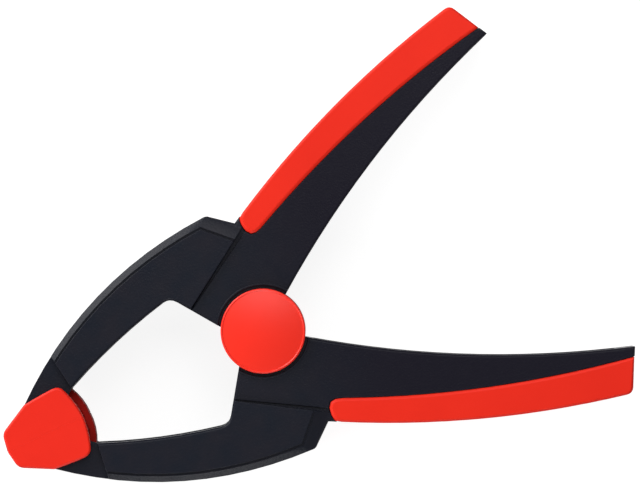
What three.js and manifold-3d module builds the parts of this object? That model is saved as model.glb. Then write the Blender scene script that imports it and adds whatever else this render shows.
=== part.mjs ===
// Spring clamp with swivelling pads, lying on its side. Millimetres.
// X runs along the clamp, from the pads (-X) to the ends of the handles (+X).
// Y runs across it, towards the upper arm, and Z up along the pivot.
// The origin is the middle of the lower cap's flat face, on which the clamp lies.
// Both arms are one moulding: the lower one is the upper one turned over about X.

import * as THREE from 'three';
import { mergeVertices } from 'three/addons/utils/BufferGeometryUtils.js';
import Module from 'manifold-3d';

const wasm = await Module();
wasm.setup();

// Clearances
const seatGap = 0.25; // between pieces that stay together
const runningGap = 0.3; // between faces that slide on each other
const boreGap = 0.15; // round a pin, on the radius
const swingGap = 0.4; // round what swings past

// Widths along the pivot, counted outwards from the middle of the coil
const coilSpace = 10;
const cheek = 2.2;
const capRecess = 0.6;
const panelRise = 1.4;
const tongueInset = 1.2; // jaw tip below the handle's side
const earWall = 2.8;
const padFlange = 2.7;
const capHeight = 3.2; // cap's face above the handle's side

// Pivot
const capRadius = 11.05;
const hubInset = 0.75; // hub disc inside the cap's edge
const recessMargin = 0.8; // recess outside the cap's edge
const lipWidth = 0.6; // raised lip round the recess
const lipHeight = 0.3;
const barrelWall = 2.4;
const pinRadius = 3;
const pinChamfer = 0.4;
const pinProud = 0.5; // pin's end past the retaining ring
const sleeveWall = 1.5;
const washerRadius = 7;
const washerThickness = 0.7;
const ringRadius = 5.4;
const ringThickness = 0.6;
const capSkirt = 1.4;
const capEdge = 1.2; // how far the cap's rounded edge falls
const capFlatRadius = 8.6;
const capEdgeSteps = 3;

// Jaw
const noseX = -64.7;
const noseY = 8.9;
const shoulderX = -0.6;
const shoulderY = 33.4;
const shoulderRound = 0.8;
const neckX = 5.3;
const neckY = 28.5;
const jawBow = 5.9;
const throatFrontX = -51.3;
const throatFrontY = 7.9;
const throatCornerX = -18.3;
const throatCornerY = 18.2;
const throatRound = 2.4;
const throatBow = 0.95;
const throatRootAngle = 149.6;
const jawWall = 2.4;
const earDepth = 2; // solid width of the ears behind the throat's front corner
const webRise = 1; // height of the ears' web above that corner

// Raised side panel of the jaw
const panelStart = 14.2; // along the jaw's outer edge, from the nose
const panelEnd = 2.7; // along the same edge, back from the shoulder
const panelTipBand = 1.5; // width of the sloping band at the panel's tip
const panelHeelBand = 1.9; // and at its heel
const panelRearX = 3.5;
const panelRearY = 24.6;
const panelStepX = -13.9;
const panelStepY = 13.6;
const panelOverrun = 2.6; // how far its outline is carried past its tip and the throat's edge
const backSlope = 2.1; // width in which the band falls to the handle's side
const heelSlope = 4.2; // and the broad face behind the panel's heel
const grooveWidth = 0.5; // between the panel and its sloping band
const grooveDepth = 0.5;
const stepWidth = 0.35; // trench behind the panel's rear step, at the throat
const stepRearWidth = 0.95; // and at the panel's rear corner
const stepDepth = 0.5;

// Handle
const handleEndX = 80;
const handleEndY = 55.8;
const handleTipX = 85.75;
const handleTipY = 45;
const handleBow = 3;
const handleInnerBow = 3.4;
const handleRootAngle = 33;
const handleEndRound = 1.6;
const handleWall = 2.6;
const sideChamfer = 0.5;
const ribThickness = 1.8;
const ribSetback = 2; // the ribs' ends inside the mouth of the hollow
const handleRibs = [48, 59, 70];
const jawRibs = [-43, -34, -25];

// Grip
const gripThickness = 2.4;
const gripSideDepth = 1.1;
const gripProud = 0.2;
const gripSetback = 1.45; // bare plastic between the jaw's back edge and the grip
const gripStartX = 6.9;
const gripStartY = 22.45;
const gripStrip = 2.55; // bare plastic left at the inner end of the handle
const gripBow = 2.85;
const gripStartRound = 4.5;
const gripBackRound = 1.8;

// Pads
const padPinX = -58.5;
const padPinY = 6;
const padPinRadius = 1.25;
const earRadius = 3.2;
const earFrontAngle = -148; // where the jaw's web meets the ear, in front of the pin
const earRearAngle = -58; // and behind it
const lugRadius = 3;
const lugAngle = 68; // where the carrier's back leaves the lug
const padTipX = -73.4;
const padTipY = 4.9;
const padTipLean = 0.8;
const padShoulderX = -64.4;
const padShoulderY = 9.2;
const padHeelX = -54;
const padHeelY = 9.9;
const padRearX = -52.9;
const padRearY = 6.8;
const padFootX = -51.7;
const padTopBow = 0.15;
const padRearBow = 0.2;
const padTipRound = 1.45;
const padHeelRound = 2;
const padChamfer = 0.4;
const padFace = 1.25; // soft layer under the carrier
const padNose = 7.2; // solid front end of the cover
const coverSlant = 3; // length of the slope at the front of the room inside the cover
const coverSlantTop = 6.4; // height of the same slope's upper end
const carrierHeelX = -51.7;
const carrierHeelY = 7.8;
const carrierRearX = -50;
const carrierBow = 0.5;
const carrierFront = 0.5; // the plate's upper edge ahead of the room's slope
const padTurn = 25; // how far a pad turns on its pin, degrees

// Torsion spring
const wireDiameter = 2;
const coilRadius = 6.6; // to the wire's middle
const coilPitch = 2.2;
const wholeTurns = 3;
const legSeat = 0.4; // where the leg bears, as a share of the handle's length
const wireSides = 8;
const wireSteps = 84;

// Fineness of the faces
const hubSides = 48;
const capSides = 64;
const pinSides = 32;
const earSides = 28;
const padPinSides = 20;
const bowStep = 6; // longest straight step on a bowed edge
const bowSteps = 4; // fewest of them
const roundSteps = 4;
const faceSteps = 14;
const edgeSamples = 80;

// Colours
const blackPlastic = { color: 0x1d1f24, roughness: 0.55, metalness: 0 };
const redSoft = { color: 0xf03223, roughness: 0.5, metalness: 0 };
const redHard = { color: 0xc92a1f, roughness: 0.4, metalness: 0 };
const bareSteel = { color: 0xb9bcc0, roughness: 0.3, metalness: 1 };
const springSteel = { color: 0x8d9095, roughness: 0.35, metalness: 1 };
const whitePlastic = { color: 0xd8d6cf, roughness: 0.5, metalness: 0 };

// Worked out from the sizes above
const innerCheekIn = coilSpace / 2;
const innerCheekOut = innerCheekIn + cheek;
const outerCheekIn = innerCheekOut + runningGap;
const outerCheekOut = outerCheekIn + cheek;
const sideHalf = outerCheekOut + capRecess;
const panelHalf = sideHalf + panelRise;
const tongueHalf = sideHalf - tongueInset;
const earIn = tongueHalf - earWall;
const blockHalf = earIn - swingGap;
const flangeIn = tongueHalf + swingGap;
const padHalf = flangeIn + padFlange;
const capFace = sideHalf + capHeight;
const hubRadius = capRadius - hubInset;
const pocketRadius = hubRadius + 2 * runningGap;
const recessRadius = capRadius + recessMargin;
const washerLow = outerCheekOut + seatGap;
const ringLow = washerLow + washerThickness + seatGap;
const ringHigh = ringLow + ringThickness;
const pinEnd = ringHigh + seatGap + pinProud;
const padParting = runningGap / 2;
const padFloor = padParting + padFace;
const padRoomFront = padTipX + padNose;
const farOut = 2 * Math.hypot(handleTipX, handleEndY); // past every face, for cutting

function polar(radius, degrees, x = 0, y = 0) {
  const angle = THREE.MathUtils.degToRad(degrees);
  return [x + radius * Math.cos(angle), y + radius * Math.sin(angle)];
}

// A corner is [x, y, rounding, bow of the edge that leaves it]. Corners run clockwise, so a
// positive bow bulges outwards.
const armCorners = [
  [noseX, noseY, 0, jawBow],
  [shoulderX, shoulderY, shoulderRound, 0],
  [neckX, neckY, 0, handleBow],
  [handleEndX, handleEndY, handleEndRound, 0],
  [handleTipX, handleTipY, 0, -handleInnerBow],
  [...polar(capRadius, handleRootAngle), 0, 0],
  [0, 0, 0, 0],
  [...polar(capRadius, throatRootAngle), 0, 0],
  [throatCornerX, throatCornerY, throatRound, -throatBow],
  [throatFrontX, throatFrontY, 0, 0],
];

// The arm's edges that other shapes follow, numbered by the corner that each leaves: the three
// between the handle and the throat have no name
const [
  jawBack, jawHeel, handleBack, handleEnd, handleInside, , , , throatEdge,
] = armCorners.keys();

// The curve of the edge that leaves corner i
function edgeCurve(corners, i) {
  const from = new THREE.Vector2(corners[i][0], corners[i][1]);
  const next = corners[(i + 1) % corners.length];
  const to = new THREE.Vector2(next[0], next[1]);
  const along = to.clone().sub(from).normalize();
  const outward = new THREE.Vector2(-along.y, along.x);
  const middle = from.clone().add(to).multiplyScalar(0.5);
  const control = middle.addScaledVector(outward, 2 * corners[i][3]);
  return new THREE.QuadraticBezierCurve(from, control, to);
}

// A closed shape through the corners, with bowed edges and rounded corners
function outline(corners) {
  const points = [];
  corners.forEach((corner, i) => {
    const curve = edgeCurve(corners, i);
    const length = curve.getLength();
    const start = corner[2] / length;
    const end = 1 - corners[(i + 1) % corners.length][2] / length;
    const steps = corner[3] ? Math.max(bowSteps, Math.ceil(length / bowStep)) : 1;
    if (corner[2]) {
      const before = edgeCurve(corners, (i + corners.length - 1) % corners.length);
      const turn = new THREE.QuadraticBezierCurve(
        before.getPointAt(1 - corner[2] / before.getLength()),
        new THREE.Vector2(corner[0], corner[1]),
        curve.getPointAt(start),
      );
      points.push(...turn.getPoints(roundSteps).slice(1, -1));
    }
    for (let step = 0; step <= steps; step += 1) {
      if (step < steps || end < 1) {
        points.push(curve.getPointAt(start + ((end - start) * step) / steps));
      }
    }
  });
  return new THREE.Shape(points);
}

// The same corners with each edge moved inwards by its own depth
function insetCorners(corners, depths) {
  const lines = corners.map((corner, i) => {
    const next = corners[(i + 1) % corners.length];
    const length = Math.hypot(next[0] - corner[0], next[1] - corner[1]);
    const dx = (next[0] - corner[0]) / length;
    const dy = (next[1] - corner[1]) / length;
    return { x: corner[0] + dy * depths[i], y: corner[1] - dx * depths[i], dx, dy };
  });
  return corners.map((corner, i) => {
    const before = lines[(i + corners.length - 1) % corners.length];
    const after = lines[i];
    const cross = before.dx * after.dy - before.dy * after.dx;
    const run = ((after.x - before.x) * after.dy - (after.y - before.y) * after.dx) / cross;
    return [before.x + run * before.dx, before.y + run * before.dy, corner[2], corner[3]];
  });
}

// A point on one of the arm's edges, a share of the way along it and moved inwards
function insidePoint(edge, share, depth) {
  const curve = edgeCurve(armCorners, edge);
  const point = curve.getPointAt(share);
  const tangent = curve.getTangentAt(share);
  return new THREE.Vector2(point.x + tangent.y * depth, point.y - tangent.x * depth);
}

// The inner face of the walls given as [edge, depth] in turn: each wall's points moved
// inwards, without those that another wall covers
function innerFace(walls) {
  const points = [];
  walls.forEach(([edge, depth]) => {
    const others = walls.filter((wall) => wall[0] !== edge);
    for (let step = 0; step <= faceSteps; step += 1) {
      const point = insidePoint(edge, step / faceSteps, depth);
      const clear = others.every(([other, otherDepth]) => edgeCurve(armCorners, other)
        .getSpacedPoints(edgeSamples)
        .every((sample) => sample.distanceTo(point) >= otherDepth));
      if (clear) {
        points.push(point);
      }
    }
  });
  return points;
}

function toSolid(geometry) {
  geometry.deleteAttribute('normal');
  geometry.deleteAttribute('uv');
  const merged = mergeVertices(geometry, 1e-4);
  const mesh = new wasm.Mesh({
    numProp: 3,
    vertProperties: new Float32Array(merged.attributes.position.array),
    triVerts: new Uint32Array(merged.index.array),
  });
  return new wasm.Manifold(mesh);
}

function toGeometry(solid) {
  const mesh = solid.getMesh();
  const geometry = new THREE.BufferGeometry();
  geometry.setAttribute('position', new THREE.BufferAttribute(mesh.vertProperties, 3));
  geometry.setIndex(new THREE.BufferAttribute(mesh.triVerts, 1));
  geometry.computeVertexNormals();
  return geometry;
}

// A shape carried from one height to another, with a chamfer round both ends if asked
function prism(shape, low, high, chamfer = 0) {
  const geometry = new THREE.ExtrudeGeometry(shape, {
    depth: high - low - 2 * chamfer,
    steps: 1,
    bevelEnabled: chamfer > 0,
    bevelThickness: chamfer,
    bevelSize: chamfer,
    bevelOffset: -chamfer,
    bevelSegments: 1,
  });
  geometry.translate(0, 0, low + chamfer);
  return toSolid(geometry);
}

// A shape carried outwards on both sides, from one height
function outwards(shape, low) {
  return prism(shape, low, farOut).add(prism(shape, -farOut, -low));
}

function disc(radius, low, high, sides = hubSides) {
  const geometry = new THREE.CylinderGeometry(radius, radius, high - low, sides);
  geometry.rotateX(Math.PI / 2);
  geometry.translate(0, 0, (low + high) / 2);
  return toSolid(geometry);
}

// A plate across the whole part between two places along X
function slab(lowX, highX) {
  const geometry = new THREE.BoxGeometry(highX - lowX, 2 * farOut, 2 * farOut);
  geometry.translate((lowX + highX) / 2, 0, 0);
  return toSolid(geometry);
}

// A turned piece: the profile is a list of [radius, height]
function turned(profile, sides = hubSides) {
  return new THREE.LatheGeometry(
    profile.map(([radius, height]) => new THREE.Vector2(radius, height)),
    sides,
  ).rotateX(Math.PI / 2);
}

function tube(inner, outer, low, high) {
  return turned([[inner, low], [outer, low], [outer, high], [inner, high], [inner, low]]);
}

// Where the spring's leg bears on the inside of the handle's outer wall
const legDepth = gripThickness + handleWall + wireDiameter / 2 + seatGap;
const legPoint = insidePoint(handleBack, legSeat, legDepth);
const legLength = Math.sqrt(legPoint.lengthSq() - coilRadius * coilRadius);
const legAngle = legPoint.angle() - Math.asin(coilRadius / legPoint.length());

// Corners of the raised panel's top. A part of a bowed edge bows by the square of its share.
const jawLength = edgeCurve(armCorners, jawBack).getLength();
const panelFore = panelStart - panelOverrun;
const panelBow = jawBow * (1 - (panelFore + panelEnd) / jawLength) ** 2;
const panelNose = insidePoint(jawBack, panelFore / jawLength, panelTipBand);
const panelTip = insidePoint(jawBack, panelStart / jawLength, panelTipBand);
const panelHeel = insidePoint(jawBack, 1 - panelEnd / jawLength, panelHeelBand);
const panelRear = new THREE.Vector2(panelRearX, panelRearY);
const panelStep = new THREE.Vector2(panelStepX, panelStepY);
const throatFront = new THREE.Vector2(throatFrontX, throatFrontY);

// Everything in front of the line through two points
function aheadOf(from, to) {
  const line = to.clone().sub(from).normalize();
  const low = from.clone().addScaledVector(line, -farOut);
  const high = to.clone().addScaledVector(line, farOut);
  const front = -2 * farOut;
  return new THREE.Shape([
    new THREE.Vector2(front, low.y),
    low,
    high,
    new THREE.Vector2(front, high.y),
  ]);
}

// A block as high as the panel, whose sides slope down to the arm's side in the given width
function slopedBlock(shape, width) {
  const geometry = new THREE.ExtrudeGeometry(shape, {
    depth: 2 * sideHalf,
    steps: 1,
    bevelThickness: panelRise,
    bevelSize: width,
    bevelSegments: 1,
  });
  geometry.translate(0, 0, -sideHalf);
  return toSolid(geometry);
}

// The raised panel on its block, which slopes along the jaw's back and heel, ends in an upright
// step at the rear and is cut to the arm's outline
function jawPanel() {
  const back = outline([
    [panelNose.x, panelNose.y, 0, panelBow],
    [panelHeel.x, panelHeel.y, 0, 0],
    [farOut, panelHeel.y, 0, 0],
    [farOut, -farOut, 0, 0],
    [panelNose.x, -farOut, 0, 0],
  ]);
  return slopedBlock(back, backSlope)
    .intersect(slopedBlock(aheadOf(panelRear, panelHeel), heelSlope))
    .intersect(prism(aheadOf(panelStep, panelRear), -farOut, farOut))
    .intersect(prism(outline(armCorners), -panelHalf, panelHalf, sideChamfer))
    .subtract(panelGroove());
}

// The groove along the panel's outer edge and heel, which runs out at both ends
function panelGroove() {
  const share = 1 + panelOverrun / panelRear.distanceTo(panelStep);
  const step = panelRear.clone().lerp(panelStep, share);
  const corners = [
    [panelNose.x, panelNose.y, 0, panelBow],
    [panelHeel.x, panelHeel.y, 0, 0],
    [panelRear.x, panelRear.y, 0, 0],
    [step.x, step.y, 0, 0],
    [throatCornerX, throatCornerY - panelOverrun, 0, -throatBow],
    [throatFrontX - panelOverrun, throatFrontY - panelOverrun, 0, 0],
  ];
  const land = insetCorners(corners, [grooveWidth, grooveWidth, -panelOverrun, 0, 0, 0]);
  return outwards(outline(corners), panelHalf - grooveDepth)
    .subtract(prism(outline(land), -farOut, farOut));
}

// The trench at the foot of the panel's rear step, which widens up to the grip's end
function stepTrench() {
  const line = panelRear.clone().sub(panelStep).normalize();
  const behind = new THREE.Vector2(line.y, -line.x);
  const low = panelStep.clone().addScaledVector(behind, stepWidth);
  const high = panelRear.clone().addScaledVector(behind, stepRearWidth);
  return outwards(aheadOf(low, high), sideHalf - stepDepth)
    .subtract(prism(aheadOf(panelStep, panelRear), -farOut, farOut));
}

// The lip round the recess for the cap
function recessLip() {
  const high = sideHalf + lipHeight;
  return disc(recessRadius + lipWidth, -high, high)
    .intersect(prism(outline(armCorners), -farOut, farOut));
}

// The two ears at the jaw's tip, round the pad's pin, with the web that joins them to the jaw
function ears() {
  const web = outline([
    [noseX, noseY, 0, 0],
    [throatFrontX, throatFrontY + webRise, 0, 0],
    [throatFrontX, throatFrontY, 0, 0],
    [...polar(earRadius, earRearAngle, padPinX, padPinY), 0, 0],
    [padPinX, padPinY, 0, 0],
    [...polar(earRadius, earFrontAngle, padPinX, padPinY), 0, 0],
  ]);
  return prism(web, -tongueHalf, tongueHalf)
    .add(disc(earRadius, -tongueHalf, tongueHalf, earSides).translate(padPinX, padPinY, 0));
}

// The hollow inside the arm, open towards the other arm, with its ribs left standing
function armHollow() {
  const wall = gripThickness + handleWall;
  const face = innerFace([[jawBack, jawWall], [jawHeel, jawWall], [handleBack, wall],
    [handleEnd, wall]]);
  const shape = new THREE.Shape([
    ...face,
    new THREE.Vector2(face[face.length - 1].x, -farOut),
    new THREE.Vector2(face[0].x, -farOut),
  ]);
  let hollow = prism(shape, -outerCheekIn, outerCheekIn)
    .intersect(slab(throatFrontX + earDepth, farOut))
    .add(prism(shape, -earIn, earIn));
  const mouths = armCorners.map((corner, i) => {
    return i === handleInside || i === throatEdge ? ribSetback : 0;
  });
  const ribSpace = prism(outline(insetCorners(armCorners, mouths)), -farOut, farOut);
  for (const x of [...jawRibs, ...handleRibs]) {
    hollow = hollow.subtract(slab(x, x + ribThickness).intersect(ribSpace));
  }
  return hollow
    .subtract(hubBarrel())
    .subtract(disc(pocketRadius + barrelWall, innerCheekIn, farOut));
}

// The wall round the coil, with a slot for the spring's leg
function hubBarrel() {
  const slot = new THREE.BoxGeometry(4 * pocketRadius, 2 * wireDiameter, 2 * innerCheekIn);
  slot.translate(2 * pocketRadius, coilRadius, 0);
  slot.rotateZ(legAngle);
  return disc(pocketRadius + barrelWall, -farOut, farOut).subtract(toSolid(slot));
}

// What the grip fills: the back, the sides and the end of the handle, up to a line on its side
function gripSpace(gap, reach) {
  const back = edgeCurve(armCorners, handleBack);
  const share = gripSetback / back.getLength();
  const start = back.getPointAt(share);
  const end = edgeCurve(armCorners, handleEnd);
  const tip = end.getPointAt(1 - gripStrip / end.getLength());
  const corners = [
    [start.x, start.y, gripBackRound, handleBow * (1 - share) ** 2],
    [handleEndX, handleEndY, handleEndRound, 0],
    [tip.x, tip.y, 0, -gripBow],
    [gripStartX, gripStartY, gripStartRound, 0],
  ];
  return outline(insetCorners(corners, [-reach, -reach, gap, gap]));
}

// The part of the arm that the grip wraps round, open everywhere but under the grip
function gripCore(depth) {
  const face = innerFace([[handleBack, depth], [handleEnd, depth]]);
  return new THREE.Shape([
    new THREE.Vector2(-farOut, farOut),
    new THREE.Vector2(face[0].x, farOut),
    ...face,
    new THREE.Vector2(face[face.length - 1].x, -farOut),
    new THREE.Vector2(-farOut, -farOut),
  ]);
}

function armSolid() {
  const padBore = disc(padPinRadius + boreGap, -farOut, farOut, padPinSides)
    .translate(padPinX, padPinY, 0);
  const coreHalf = sideHalf - gripSideDepth;
  const rebate = prism(gripSpace(0, gripProud), -farOut, farOut)
    .subtract(prism(gripCore(gripThickness), -coreHalf, coreHalf));
  return prism(outline(armCorners), -sideHalf, sideHalf, sideChamfer)
    .subtract(stepTrench())
    .add(jawPanel())
    .add(recessLip())
    .subtract(outwards(aheadOf(throatFront, panelTip), tongueHalf))
    .add(ears())
    .subtract(armHollow())
    .subtract(disc(pocketRadius, -outerCheekIn, innerCheekIn))
    .subtract(disc(pocketRadius, innerCheekOut, farOut))
    .add(disc(hubRadius, innerCheekIn, innerCheekOut))
    .add(disc(hubRadius, -outerCheekOut, -outerCheekIn))
    .subtract(disc(recessRadius, outerCheekOut, farOut))
    .subtract(disc(recessRadius, -farOut, -outerCheekOut))
    .subtract(disc(pinRadius + boreGap, -farOut, farOut, pinSides))
    .subtract(padBore)
    .subtract(rebate);
}

function gripSolid() {
  const half = sideHalf + gripProud;
  const coreHalf = sideHalf - gripSideDepth + seatGap;
  return prism(gripSpace(seatGap, 0), -half, half, sideChamfer)
    .intersect(prism(outline(armCorners), -farOut, farOut))
    .subtract(prism(gripCore(gripThickness - seatGap), -coreHalf, coreHalf));
}

// The soft cover of a pad, with room inside for the jaw's tip and the carrier. Its edges are
// chamfered everywhere but round the face that meets the other pad.
function padCover() {
  const under = -2 * padChamfer;
  const body = outline([
    [padTipX, under, 0, 0],
    [padTipX, padParting, 0, 0],
    [padTipX + padTipLean, padTipY, padTipRound, 0],
    [padShoulderX, padShoulderY, 0, padTopBow],
    [padHeelX, padHeelY, padHeelRound, 0],
    [padRearX, padRearY, 0, padRearBow],
    [padFootX, padParting, 0, 0],
    [padFootX, under, 0, 0],
  ]);
  const below = outline([
    [-farOut, padParting, 0, 0],
    [farOut, padParting, 0, 0],
    [farOut, -farOut, 0, 0],
    [-farOut, -farOut, 0, 0],
  ]);
  const room = outline([
    [padRoomFront, farOut, 0, 0],
    [farOut, farOut, 0, 0],
    [farOut, padFloor, 0, 0],
    [padRoomFront + coverSlant, padFloor, 0, 0],
    [padRoomFront, coverSlantTop, 0, 0],
  ]);
  return prism(body, -padHalf, padHalf, padChamfer)
    .subtract(prism(below, -farOut, farOut))
    .subtract(prism(room, -flangeIn, flangeIn));
}

// A plate in the cover's floor, sloped to stay under the turning ears, and a block between the
// ears that holds the pin and reaches out behind the flanges, down to the parting line
function padCarrier() {
  const floor = padFloor + seatGap;
  const top = padPinY - earRadius - swingGap;
  const slope = Math.tan(THREE.MathUtils.degToRad(padTurn / 2));
  const front = padRoomFront + coverSlant;
  const lip = padFootX + seatGap;
  const plate = outline([
    [front + seatGap, floor, 0, 0],
    [front - carrierFront, top, 0, 0],
    [padPinX, top, 0, 0],
    [padFootX, top + (padFootX - padPinX) * slope, 0, 0],
    [padFootX, floor, 0, 0],
  ]);
  const blockShape = outline([
    [padPinX - lugRadius, floor, 0, 0],
    [padPinX - lugRadius, padPinY, 0, 0],
    [padPinX, padPinY, 0, 0],
    [...polar(lugRadius, lugAngle, padPinX, padPinY), 0, 0],
    [carrierHeelX, carrierHeelY, 0, carrierBow],
    [carrierRearX, padParting, 0, 0],
    [lip, padParting, 0, 0],
    [lip, floor, 0, 0],
  ]);
  const bore = disc(padPinRadius + boreGap, -farOut, farOut, padPinSides);
  return prism(plate, seatGap - flangeIn, flangeIn - seatGap)
    .add(prism(blockShape, -blockHalf, blockHalf))
    .add(disc(lugRadius, -blockHalf, blockHalf, earSides).translate(padPinX, padPinY, 0))
    .subtract(bore.translate(padPinX, padPinY, 0));
}

function padPin() {
  const half = tongueHalf - seatGap;
  return turned([[0, -half], [padPinRadius, -half], [padPinRadius, half], [0, half]], padPinSides)
    .translate(padPinX, padPinY, 0);
}

// A cap that clips round the washer, with a socket for the pin's end and a rounded edge
function cap() {
  const socket = pinRadius + boreGap;
  const roof = ringHigh + seatGap + runningGap;
  const profile = [
    [0, pinEnd + seatGap],
    [socket, pinEnd + seatGap],
    [socket, roof],
    [capRadius - capSkirt, roof],
    [capRadius - capSkirt, outerCheekOut + seatGap],
    [capRadius, outerCheekOut + seatGap],
  ];
  for (let step = 0; step <= capEdgeSteps; step += 1) {
    const angle = (step / capEdgeSteps) * (Math.PI / 2);
    profile.push([
      capFlatRadius + (capRadius - capFlatRadius) * Math.cos(angle),
      capFace - capEdge * (1 - Math.sin(angle)),
    ]);
  }
  profile.push([0, capFace]);
  return turned(profile, capSides);
}

function pivotPin() {
  return turned([
    [0, -pinEnd],
    [pinRadius - pinChamfer, -pinEnd],
    [pinRadius, pinChamfer - pinEnd],
    [pinRadius, pinEnd - pinChamfer],
    [pinRadius - pinChamfer, pinEnd],
    [0, pinEnd],
  ], pinSides);
}

// The wire's middle line: one leg, the coil, the other leg
class SpringLine extends THREE.Curve {
  getPoint(share, target = new THREE.Vector3()) {
    const turn = wholeTurns * 2 * Math.PI + Math.PI - 2 * legAngle;
    const pitch = coilPitch / (2 * Math.PI);
    const coilLength = turn * Math.hypot(coilRadius, pitch);
    const along = share * (2 * legLength + coilLength);
    const endHeight = (turn * pitch) / 2;
    const leaving = Math.PI / 2 + legAngle;
    const past = along < legLength ? legLength - along : along - legLength - coilLength;
    if (past > 0) {
      const side = along < legLength ? -1 : 1;
      return target.set(
        coilRadius * Math.cos(leaving) + past * Math.cos(legAngle),
        side * (coilRadius * Math.sin(leaving) + past * Math.sin(legAngle)),
        side * endHeight,
      );
    }
    const wound = ((along - legLength) / coilLength) * turn;
    return target.set(
      coilRadius * Math.cos(-leaving - wound),
      coilRadius * Math.sin(-leaving - wound),
      wound * pitch - endHeight,
    );
  }
}

function torsionSpring() {
  const section = new THREE.Shape();
  for (let side = 0; side < wireSides; side += 1) {
    const [x, y] = polar(wireDiameter / 2, (side * 360) / wireSides);
    if (side) {
      section.lineTo(x, y);
    } else {
      section.moveTo(x, y);
    }
  }
  return new THREE.ExtrudeGeometry(section, { steps: wireSteps, extrudePath: new SpringLine() });
}

// Pieces as [name, geometry, finish]
const armPieces = [
  ['arm', toGeometry(armSolid()), blackPlastic],
  ['grip', toGeometry(gripSolid()), redSoft],
  ['pad_cover', toGeometry(padCover()), redSoft],
  ['pad_carrier', toGeometry(padCarrier()), redHard],
  ['pad_pin', padPin(), bareSteel],
];

const endBore = pinRadius + boreGap;
const endPieces = [
  ['washer', tube(endBore, washerRadius, washerLow, washerLow + washerThickness), bareSteel],
  ['retaining_ring', tube(endBore, ringRadius, ringLow, ringHigh), springSteel],
  ['cap', cap(), redHard],
];

const sleeveHalf = innerCheekIn - seatGap;
const middlePieces = [
  ['pivot_pin', pivotPin(), bareSteel],
  ['spring_sleeve', tube(endBore, endBore + sleeveWall, -sleeveHalf, sleeveHalf), whitePlastic],
  ['torsion_spring', torsionSpring(), springSteel],
];

function assembly(pieces, side = '') {
  const group = new THREE.Group();
  for (const [name, geometry, finish] of pieces) {
    const mesh = new THREE.Mesh(geometry, new THREE.MeshStandardMaterial(finish));
    mesh.name = side + name;
    group.add(mesh);
  }
  return group;
}

const upperArm = assembly(armPieces, 'upper_');
const lowerArm = assembly(armPieces, 'lower_');
lowerArm.rotation.x = Math.PI;

const frontEnd = assembly(endPieces, 'front_');
const backEnd = assembly(endPieces, 'back_');
backEnd.rotation.x = Math.PI;

const clamp = new THREE.Group();
clamp.position.z = capFace;
clamp.add(upperArm, lowerArm, frontEnd, backEnd, assembly(middlePieces));

export default clamp;
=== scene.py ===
import bmesh
import bpy
import math
from mathutils import Matrix, Vector
from mathutils.bvhtree import BVHTree


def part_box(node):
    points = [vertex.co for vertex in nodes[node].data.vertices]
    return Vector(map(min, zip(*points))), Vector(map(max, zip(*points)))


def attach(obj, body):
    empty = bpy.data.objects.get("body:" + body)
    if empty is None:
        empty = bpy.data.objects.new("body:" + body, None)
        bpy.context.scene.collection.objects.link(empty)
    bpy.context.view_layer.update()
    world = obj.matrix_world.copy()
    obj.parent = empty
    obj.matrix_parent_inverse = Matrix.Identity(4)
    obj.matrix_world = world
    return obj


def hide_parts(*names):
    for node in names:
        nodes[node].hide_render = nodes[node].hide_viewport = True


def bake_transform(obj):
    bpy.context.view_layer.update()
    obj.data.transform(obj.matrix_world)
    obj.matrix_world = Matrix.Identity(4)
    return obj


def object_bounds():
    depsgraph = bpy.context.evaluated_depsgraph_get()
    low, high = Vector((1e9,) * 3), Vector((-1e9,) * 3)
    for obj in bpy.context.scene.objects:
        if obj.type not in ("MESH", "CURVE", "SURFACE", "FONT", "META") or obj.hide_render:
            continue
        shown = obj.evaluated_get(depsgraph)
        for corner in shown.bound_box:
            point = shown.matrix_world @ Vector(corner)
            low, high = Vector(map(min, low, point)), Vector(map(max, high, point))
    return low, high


# Spring clamp lying on its back cap, in metres: X runs to the handles' ends, Z up along the pivot

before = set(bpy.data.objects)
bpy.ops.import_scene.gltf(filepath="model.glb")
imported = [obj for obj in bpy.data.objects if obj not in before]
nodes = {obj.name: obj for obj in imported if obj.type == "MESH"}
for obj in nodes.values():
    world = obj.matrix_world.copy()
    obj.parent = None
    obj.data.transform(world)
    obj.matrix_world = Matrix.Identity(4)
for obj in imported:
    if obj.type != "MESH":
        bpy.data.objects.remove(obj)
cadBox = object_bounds()
mm = 0.001
pivotHeight = (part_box("front_cap")[1].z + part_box("back_cap")[0].z) / 2
print("frame loaded:", len(nodes), "nodes")


# Camera: straight down the pivot, rolled so that the clamp climbs to the right

photo = {
    "roll": 25.35,  # degrees that the clamp's length climbs in the picture
    "lens": 500,
    "sensor": 36,
    "middle": (23.29, 14.58),  # what lies in the middle of the picture, mm
    "width": 166.1,  # width of the picture at the caps' height, mm
}

cameraData = bpy.data.cameras.new("camera")
cameraData.lens = photo["lens"]
cameraData.sensor_width = photo["sensor"]
camera = bpy.data.objects.new("camera", cameraData)
bpy.context.collection.objects.link(camera)
cameraReach = photo["width"] * photo["lens"] / photo["sensor"] * mm
camera.location = (photo["middle"][0] * mm, photo["middle"][1] * mm, cadBox[1].z + cameraReach)
camera.rotation_euler = (0, 0, -math.radians(photo["roll"]))
bpy.context.scene.camera = camera
bpy.context.scene.view_settings.view_transform = "Standard"


# Materials

# The part of the noise's range in which one tint turns into the other
patchSpread = (0.35, 0.65)
scratchSpread = (0.3, 0.7)

def newMaterial(name):
    material = bpy.data.materials.new(name)
    material.use_nodes = True
    return material, material.node_tree.nodes, material.node_tree.links


def noiseOn(tree, links, scale, detail=3):
    place = tree.new("ShaderNodeTexCoord")
    noise = tree.new("ShaderNodeTexNoise")
    noise.inputs["Scale"].default_value = scale
    noise.inputs["Detail"].default_value = detail
    links.new(place.outputs["Object"], noise.inputs["Vector"])
    return noise


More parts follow.
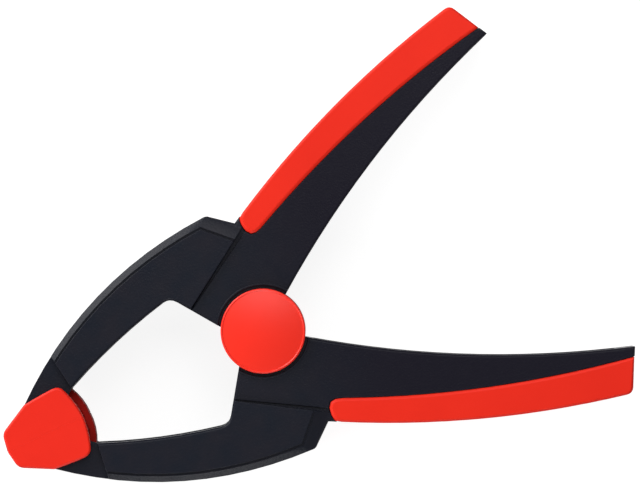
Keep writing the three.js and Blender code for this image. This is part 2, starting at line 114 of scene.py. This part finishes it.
def mixedColour(tree, links, factor, low, high, shadeLow, shadeHigh):
    spread = tree.new("ShaderNodeMapRange")
    spread.inputs["From Min"].default_value = low
    spread.inputs["From Max"].default_value = high
    links.new(factor, spread.inputs["Value"])
    mix = tree.new("ShaderNodeMix")
    mix.data_type = "RGBA"
    mix.inputs["A"].default_value = (*shadeLow, 1)
    mix.inputs["B"].default_value = (*shadeHigh, 1)
    links.new(spread.outputs["Result"], mix.inputs["Factor"])
    return mix.outputs["Result"]


def variedRoughness(tree, links, factor, look):
    rough = tree.new("ShaderNodeMapRange")
    rough.inputs["To Min"].default_value = look["roughness"] - look["roughnessSpread"]
    rough.inputs["To Max"].default_value = look["roughness"] + look["roughnessSpread"]
    links.new(factor, rough.inputs["Value"])
    links.new(rough.outputs["Result"], tree["Principled BSDF"].inputs["Roughness"])


# Moulded finish: two tints in soft patches, a fine grain, and a roughness that varies a little
def moulded(name, look):
    material, tree, links = newMaterial(name)
    shader = tree["Principled BSDF"]
    patches = noiseOn(tree, links, look["patchScale"], 6)
    tint = mixedColour(tree, links, patches.outputs["Fac"], *patchSpread, look["tint"], look["otherTint"])
    if "farTint" in look:
        tint = driftedTint(tree, links, tint, look)
    links.new(tint, shader.inputs["Base Color"])
    grain = noiseOn(tree, links, look["grainScale"], 2)
    variedRoughness(tree, links, grain.outputs["Fac"], look)
    bump = tree.new("ShaderNodeBump")
    bump.inputs["Strength"].default_value = look["grainStrength"]
    bump.inputs["Distance"].default_value = look["grainDepth"] * mm
    links.new(grain.outputs["Fac"], bump.inputs["Height"])
    links.new(bump.outputs["Normal"], shader.inputs["Normal"])
    shader.inputs["Specular IOR Level"].default_value = look["gloss"]
    return material


# The tint turns into another one along the clamp
def driftedTint(tree, links, tint, look):
    place = tree.new("ShaderNodeTexCoord")
    along = tree.new("ShaderNodeSeparateXYZ")
    links.new(place.outputs["Object"], along.inputs["Vector"])
    spread = tree.new("ShaderNodeMapRange")
    spread.interpolation_type = "SMOOTHSTEP"
    spread.inputs["From Min"].default_value = look["driftFrom"] * mm
    spread.inputs["From Max"].default_value = look["driftTo"] * mm
    links.new(along.outputs["X"], spread.inputs["Value"])
    mix = tree.new("ShaderNodeMix")
    mix.data_type = "RGBA"
    mix.inputs["B"].default_value = (*look["farTint"], 1)
    links.new(tint, mix.inputs["A"])
    links.new(spread.outputs["Result"], mix.inputs["Factor"])
    return mix.outputs["Result"]


# Steel with fine scratches along one direction
def metal(name, look):
    material, tree, links = newMaterial(name)
    shader = tree["Principled BSDF"]
    shader.inputs["Metallic"].default_value = 1
    stretch = tree.new("ShaderNodeMapping")
    stretch.inputs["Scale"].default_value = look["stretch"]
    scratches = noiseOn(tree, links, look["scratchScale"])
    place = scratches.inputs["Vector"].links[0].from_socket
    links.new(place, stretch.inputs["Vector"])
    links.new(stretch.outputs["Vector"], scratches.inputs["Vector"])
    factor = scratches.outputs["Fac"]
    shade = mixedColour(tree, links, factor, *scratchSpread, look["tint"], look["otherTint"])
    links.new(shade, shader.inputs["Base Color"])
    variedRoughness(tree, links, factor, look)
    return material


armPlastic = moulded("arm_plastic", {
    "tint": (0.0032, 0.0048, 0.0100),
    "otherTint": (0.0062, 0.0062, 0.0110),
    "farTint": (0.0016, 0.0010, 0.0055),  # at the handles
    "driftFrom": -8,
    "driftTo": 30,
    "patchScale": 160,
    "grainScale": 2400,
    "grainStrength": 0.8,
    "grainDepth": 0.1,
    "roughness": 0.33,
    "roughnessSpread": 0.08,
    "gloss": 0.12,
})
softGrip = moulded("soft_grip", {
    "tint": (0.69, 0.0160, 0.0048),
    "otherTint": (0.73, 0.0185, 0.0058),
    "patchScale": 45,
    "grainScale": 3200,
    "grainStrength": 0.25,
    "grainDepth": 0.04,
    "roughness": 0.5,
    "roughnessSpread": 0.06,
    "gloss": 0.16,
})
softPad = moulded("soft_pad", {
    "tint": (0.70, 0.0155, 0.0050),
    "otherTint": (0.74, 0.0180, 0.0060),
    "patchScale": 60,
    "grainScale": 3200,
    "grainStrength": 0.25,
    "grainDepth": 0.04,
    "roughness": 0.45,
    "roughnessSpread": 0.06,
    "gloss": 0.2,
})
padPlastic = moulded("pad_plastic", {
    "tint": (0.26, 0.006, 0.004),
    "otherTint": (0.32, 0.008, 0.005),
    "patchScale": 120,
    "grainScale": 3000,
    "grainStrength": 0.2,
    "grainDepth": 0.03,
    "roughness": 0.65,
    "roughnessSpread": 0.06,
    "gloss": 0.08,
})
capPlastic = moulded("cap_plastic", {
    "tint": (0.76, 0.0170, 0.0050),
    "otherTint": (0.80, 0.0190, 0.0058),
    "patchScale": 70,
    "grainScale": 2800,
    "grainStrength": 0.2,
    "grainDepth": 0.04,
    "roughness": 0.36,
    "roughnessSpread": 0.05,
    "gloss": 0.32,
})
sleevePlastic = moulded("sleeve_plastic", {
    "tint": (0.70, 0.68, 0.62),
    "otherTint": (0.76, 0.74, 0.70),
    "patchScale": 150,
    "grainScale": 2500,
    "grainStrength": 0.2,
    "grainDepth": 0.03,
    "roughness": 0.45,
    "roughnessSpread": 0.05,
    "gloss": 0.5,
})
pinSteel = metal("pin_steel", {
    "tint": (0.50, 0.51, 0.53),
    "otherTint": (0.62, 0.63, 0.64),
    "stretch": (1, 1, 12),
    "scratchScale": 900,
    "roughness": 0.3,
    "roughnessSpread": 0.1,
})
springSteel = metal("spring_steel", {
    "tint": (0.24, 0.25, 0.27),
    "otherTint": (0.36, 0.36, 0.37),
    "stretch": (1, 1, 4),
    "scratchScale": 700,
    "roughness": 0.34,
    "roughnessSpread": 0.1,
})
print("materials made")


# Pieces

def addPiece(name, mesh, material, replaced):
    mesh.materials.clear()
    mesh.materials.append(material)
    piece = bpy.data.objects.new(name, mesh)
    bpy.context.collection.objects.link(piece)
    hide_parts(*replaced)
    return piece


# Smooth faces, with the edges sharper than the crease left crisp
def smoothMesh(bm, name, crease):
    for face in bm.faces:
        face.smooth = True
    mesh = bpy.data.meshes.new(name)
    bm.to_mesh(mesh)
    bm.free()
    mesh.set_sharp_from_angle(angle=math.radians(crease))
    return mesh


# How the frame's solids are made ready for rounding, mm and degrees
cleaning = {
    "merge": 0.02,  # corners that are one corner
    "short": 0.1,  # edges too short to round
    "flat": 0.5,  # faces that are one face
    "sharp": 25,  # edges that get rounded
    "crease": 38,  # edges that stay crisp after that
    "parting": 0.2,  # how near a pad's parting face lies to the middle plane
    "partingGap": 0.008,  # what is left of that when the pads are closed
    "left": 0.04,  # what is left of the gap to a piece's seat
    "upright": 0.9,  # share of an upright edge's length that lies along Z
    "faceWeight": 80,  # how far the larger faces lead the shading, of 100
}

# Moves the corners that lie near another solid up to it, along the picture plane
def seatOn(bm, node, reach, left):
    other = bmesh.new()
    other.from_mesh(nodes[node].data)
    tree = BVHTree.FromBMesh(other)
    for corner in bm.verts:
        spot, _, _, distance = tree.find_nearest(corner.co)
        if distance and distance < reach * mm:
            way = spot - corner.co
            way.z = 0
            if way.length > left * mm:
                corner.co += way * (1 - left * mm / way.length)
    other.free()


def isUpright(edge):
    span = edge.verts[0].co - edge.verts[1].co
    return abs(span.z) > cleaning["upright"] * span.length


# A moulding with rounded edges, from the frame's own solid, which may be seated on another one
def softened(node, body, material, look, seat=""):
    bm = bmesh.new()
    bm.from_mesh(nodes[node].data)
    bmesh.ops.remove_doubles(bm, verts=bm.verts, dist=cleaning["merge"] * mm)
    bmesh.ops.dissolve_degenerate(bm, dist=cleaning["short"] * mm, edges=bm.edges)
    flat = math.radians(cleaning["flat"])
    bmesh.ops.dissolve_limit(bm, angle_limit=flat, verts=bm.verts, edges=bm.edges)
    if seat:
        seatOn(bm, seat, look["reach"], cleaning["left"])
    parting = [corner for corner in bm.verts if abs(corner.co.y) < cleaning["parting"] * mm]
    for corner in parting:
        corner.co.y = math.copysign(cleaning["partingGap"] * mm / 2, corner.co.y)
    sharp = [
        edge for edge in bm.edges
        if edge.is_convex and edge.calc_face_angle() > math.radians(cleaning["sharp"])
        and not (edge.verts[0] in parting and edge.verts[1] in parting and not isUpright(edge))
    ]
    bmesh.ops.bevel(
        bm, geom=sharp, offset=look["round"] * mm, offset_type="OFFSET", segments=look["steps"],
        profile=0.5, affect="EDGES", clamp_overlap=False, material=-1,
    )
    mesh = smoothMesh(bm, node + "_moulding", cleaning["crease"])
    piece = addPiece(node + "_moulding", mesh, material, [node])
    normals = piece.modifiers.new("faces", "WEIGHTED_NORMAL")
    normals.weight = cleaning["faceWeight"]
    normals.keep_sharp = True
    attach(piece, body)


armLook = {"round": 0.18, "steps": 2}
gripLook = {"round": 0.2, "steps": 2, "reach": 0.4}  # from how far it is moved to its seat, mm
coverLook = {"round": 0.2, "steps": 2}
carrierLook = {"round": 0.2, "steps": 2, "reach": 0.6}

for side in ("upper", "lower"):
    arm, pad, cover = side + "_arm", side + "_pad", side + "_pad_cover"
    softened(arm, arm, armPlastic, armLook)
    softened(side + "_grip", arm, softGrip, gripLook, seat=arm)
    softened(cover, pad, softPad, coverLook)
    softened(side + "_pad_carrier", pad, padPlastic, carrierLook, seat=cover)
print("arms, grips and pads made")


# Caps: a crowned disc with a rounded rim, turned about the pivot

capLook = {
    "crown": 1.1,  # how far the face falls from its middle to its edge, mm
    "bead": 0.16,  # how far the rim stands above the face's edge
    "beadSlope": 0.22,  # width of the step up to it
    "rim": 0.4,  # radius of the rounded rim
    "wall": 1.4,
    "thickness": 2.2,  # at the middle
    "steps": 96,
    "rings": 10,
    "rimSteps": 5,
    "merge": 0.001,
    "crease": 40,
}

def makeCap(node, facing):
    low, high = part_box(node)
    radius = high.x
    top = high.z if facing > 0 else -low.z
    foot = low.z if facing > 0 else -high.z
    rim, crown = capLook["rim"] * mm, capLook["crown"] * mm
    bead = top - crown + capLook["bead"] * mm
    faceEdge = radius - rim - capLook["beadSlope"] * mm
    inside, underside = radius - capLook["wall"] * mm, top - capLook["thickness"] * mm
    profile = [Vector((0, 0, top))]
    for ring in range(1, capLook["rings"] + 1):
        out = faceEdge * ring / capLook["rings"]
        profile.append(Vector((out, 0, top - crown * (out / faceEdge) ** 2)))
    for step in range(capLook["rimSteps"] + 1):
        turn = math.radians(90) * step / capLook["rimSteps"]
        across, down = rim * (1 - math.sin(turn)), rim * (1 - math.cos(turn))
        profile.append(Vector((radius - across, 0, bead - down)))
    for out, height in ((radius, foot), (inside, foot), (inside, underside), (0, underside)):
        profile.append(Vector((out, 0, height)))
    bm = bmesh.new()
    points = [bm.verts.new(point) for point in profile]
    edges = [bm.edges.new(pair) for pair in zip(points, points[1:])]
    bmesh.ops.spin(
        bm, geom=points + edges, cent=(0, 0, 0), axis=(0, 0, 1), angle=math.radians(360),
        steps=capLook["steps"], use_merge=True,
    )
    bmesh.ops.remove_doubles(bm, verts=bm.verts, dist=capLook["merge"] * mm)
    if facing < 0:
        bmesh.ops.transform(bm, matrix=Matrix.Rotation(math.radians(180), 4, "X"), verts=bm.verts)
    bmesh.ops.recalc_face_normals(bm, faces=bm.faces)
    mesh = smoothMesh(bm, node + "_button", capLook["crease"])
    piece = addPiece(node + "_button", mesh, capPlastic, [node])
    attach(piece, "lower_arm")

makeCap("front_cap", 1)
makeCap("back_cap", -1)
print("caps made")


# Torsion spring: round wire wound about the pivot, a leg in each handle

springLook = {
    "wire": 2.0,  # diameter, mm
    "coil": 6.6,  # radius to the wire's middle
    "pitch": 2.2,
    "turns": 3,
    "stepsPerTurn": 40,
    "sides": 5,
    "crease": 50,
}

def makeSpring():
    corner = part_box("torsion_spring")[1]
    wire, coil = springLook["wire"] * mm, springLook["coil"] * mm
    tip = Vector((corner.x - wire / 2, corner.y - wire / 2))
    leaning = math.atan2(tip.y, tip.x) - math.asin(coil / tip.length)
    legLength = math.sqrt(tip.length ** 2 - coil ** 2)
    turn = springLook["turns"] * 2 * math.pi + math.pi - 2 * leaning
    steps = round(springLook["stepsPerTurn"] * turn / (2 * math.pi))
    rise = springLook["pitch"] * mm / (2 * math.pi)
    leaving = math.pi / 2 + leaning
    points = []
    for step in range(steps + 1):
        wound = turn * step / steps
        points.append(Vector((
            coil * math.cos(-leaving - wound),
            coil * math.sin(-leaving - wound),
            pivotHeight + rise * (wound - turn / 2),
        )))
    along = Vector((math.cos(leaning), math.sin(leaning), 0)) * legLength
    points.insert(0, points[0] + Vector((along.x, -along.y, 0)))
    points.append(points[-1] + along)
    curve = bpy.data.curves.new("torsion_coil", "CURVE")
    curve.dimensions = "3D"
    curve.bevel_depth = wire / 2
    curve.bevel_resolution = springLook["sides"]
    curve.use_fill_caps = True
    line = curve.splines.new("POLY")
    line.points.add(len(points) - 1)
    for spot, point in zip(line.points, points):
        spot.co = (*point, 1)
    shape = bpy.data.objects.new("torsion_curve", curve)
    bpy.context.collection.objects.link(shape)
    bpy.context.view_layer.update()
    mesh = bpy.data.meshes.new_from_object(shape.evaluated_get(bpy.context.evaluated_depsgraph_get()))
    bpy.data.objects.remove(shape)
    for face in mesh.polygons:
        face.use_smooth = True
    mesh.set_sharp_from_angle(angle=math.radians(springLook["crease"]))
    piece = addPiece("torsion_coil", mesh, springSteel, ["torsion_spring"])
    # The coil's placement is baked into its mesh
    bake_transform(piece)

makeSpring()
print("spring made")


# Nodes of the frame that are right as they are

finishes = {
    "pivot_pin": pinSteel,
    "front_washer": pinSteel,
    "back_washer": pinSteel,
    "front_retaining_ring": springSteel,
    "back_retaining_ring": springSteel,
    "upper_pad_pin": pinSteel,
    "lower_pad_pin": pinSteel,
    "spring_sleeve": sleevePlastic,
}
for node, material in finishes.items():
    nodes[node].data.materials.clear()
    nodes[node].data.materials.append(material)
print("frame's own pieces finished")


# Stage: a white floor and soft lamps

stageLook = {
    "floorSize": 6,
    "floorColour": 0.3,
    "floorRoughness": 0.9,
    "floorGloss": 0.1,
    "floorGlow": 0.88,  # added where the background is looked at, so that the floor is white
    "ambient": 0.15,
}

# 1 where the background is looked at, straight or in a reflection, and 0 where it lights the clamp
def showsBackground(tree, links):
    rays = tree.new("ShaderNodeLightPath")
    shows = rays.outputs["Is Camera Ray"]
    for way in ("Is Glossy Ray", "Is Transmission Ray"):
        either = tree.new("ShaderNodeMath")
        either.operation = "MAXIMUM"
        links.new(shows, either.inputs[0])
        links.new(rays.outputs[way], either.inputs[1])
        shows = either.outputs["Value"]
    return shows


def makeStage():
    bm = bmesh.new()
    bmesh.ops.create_grid(bm, x_segments=1, y_segments=1, size=stageLook["floorSize"] / 2)
    mesh = bpy.data.meshes.new("floor")
    bm.to_mesh(mesh)
    bm.free()
    floor = bpy.data.objects.new("floor", mesh)
    bpy.context.collection.objects.link(floor)
    material, tree, links = newMaterial("floor_white")
    shader = tree["Principled BSDF"]
    shade = stageLook["floorColour"]
    shader.inputs["Base Color"].default_value = (shade, shade, shade, 1)
    shader.inputs["Roughness"].default_value = stageLook["floorRoughness"]
    shader.inputs["Specular IOR Level"].default_value = stageLook["floorGloss"]
    shader.inputs["Emission Color"].default_value = (1, 1, 1, 1)
    glow = tree.new("ShaderNodeMath")
    glow.operation = "MULTIPLY"
    glow.inputs[1].default_value = stageLook["floorGlow"]
    links.new(showsBackground(tree, links), glow.inputs[0])
    links.new(glow.outputs["Value"], shader.inputs["Emission Strength"])
    mesh.materials.append(material)


def makeWorld():
    world = bpy.data.worlds.new("studio")
    bpy.context.scene.world = world
    world.use_nodes = True
    tree, links = world.node_tree.nodes, world.node_tree.links
    background = tree["Background"]
    background.inputs["Color"].default_value = (1, 1, 1, 1)
    strength = tree.new("ShaderNodeMapRange")
    strength.inputs["To Min"].default_value = stageLook["ambient"]
    strength.inputs["To Max"].default_value = 1
    links.new(showsBackground(tree, links), strength.inputs["Value"])
    links.new(strength.outputs["Result"], background.inputs["Strength"])


# Lamps are placed by the picture: to its right, up it, and towards the camera, in metres
lamps = [
    {"name": "key", "place": (0.02, 0.38, 0.62), "size": 0.45, "power": 2.4},
    {"name": "rim", "place": (-0.60, 0.56, 0.30), "size": 0.6, "power": 9.0},
    {"name": "side", "place": (-0.68, -0.32, 0.40), "size": 0.3, "power": 2.0},
    {"name": "low", "place": (0.05, -0.76, 0.42), "size": 0.4, "power": 3.4},
]

def makeLamps():
    turn = Matrix.Rotation(-math.radians(photo["roll"]), 4, "Z")
    for lamp in lamps:
        data = bpy.data.lights.new(lamp["name"], "AREA")
        data.shape = "SQUARE"
        data.size = lamp["size"]
        data.energy = lamp["power"]
        light = bpy.data.objects.new(lamp["name"], data)
        bpy.context.collection.objects.link(light)
        place = turn @ Vector(lamp["place"])
        light.location = place
        light.rotation_euler = place.to_track_quat("Z", "Y").to_euler()

makeStage()
makeWorld()
makeLamps()
print("stage made")
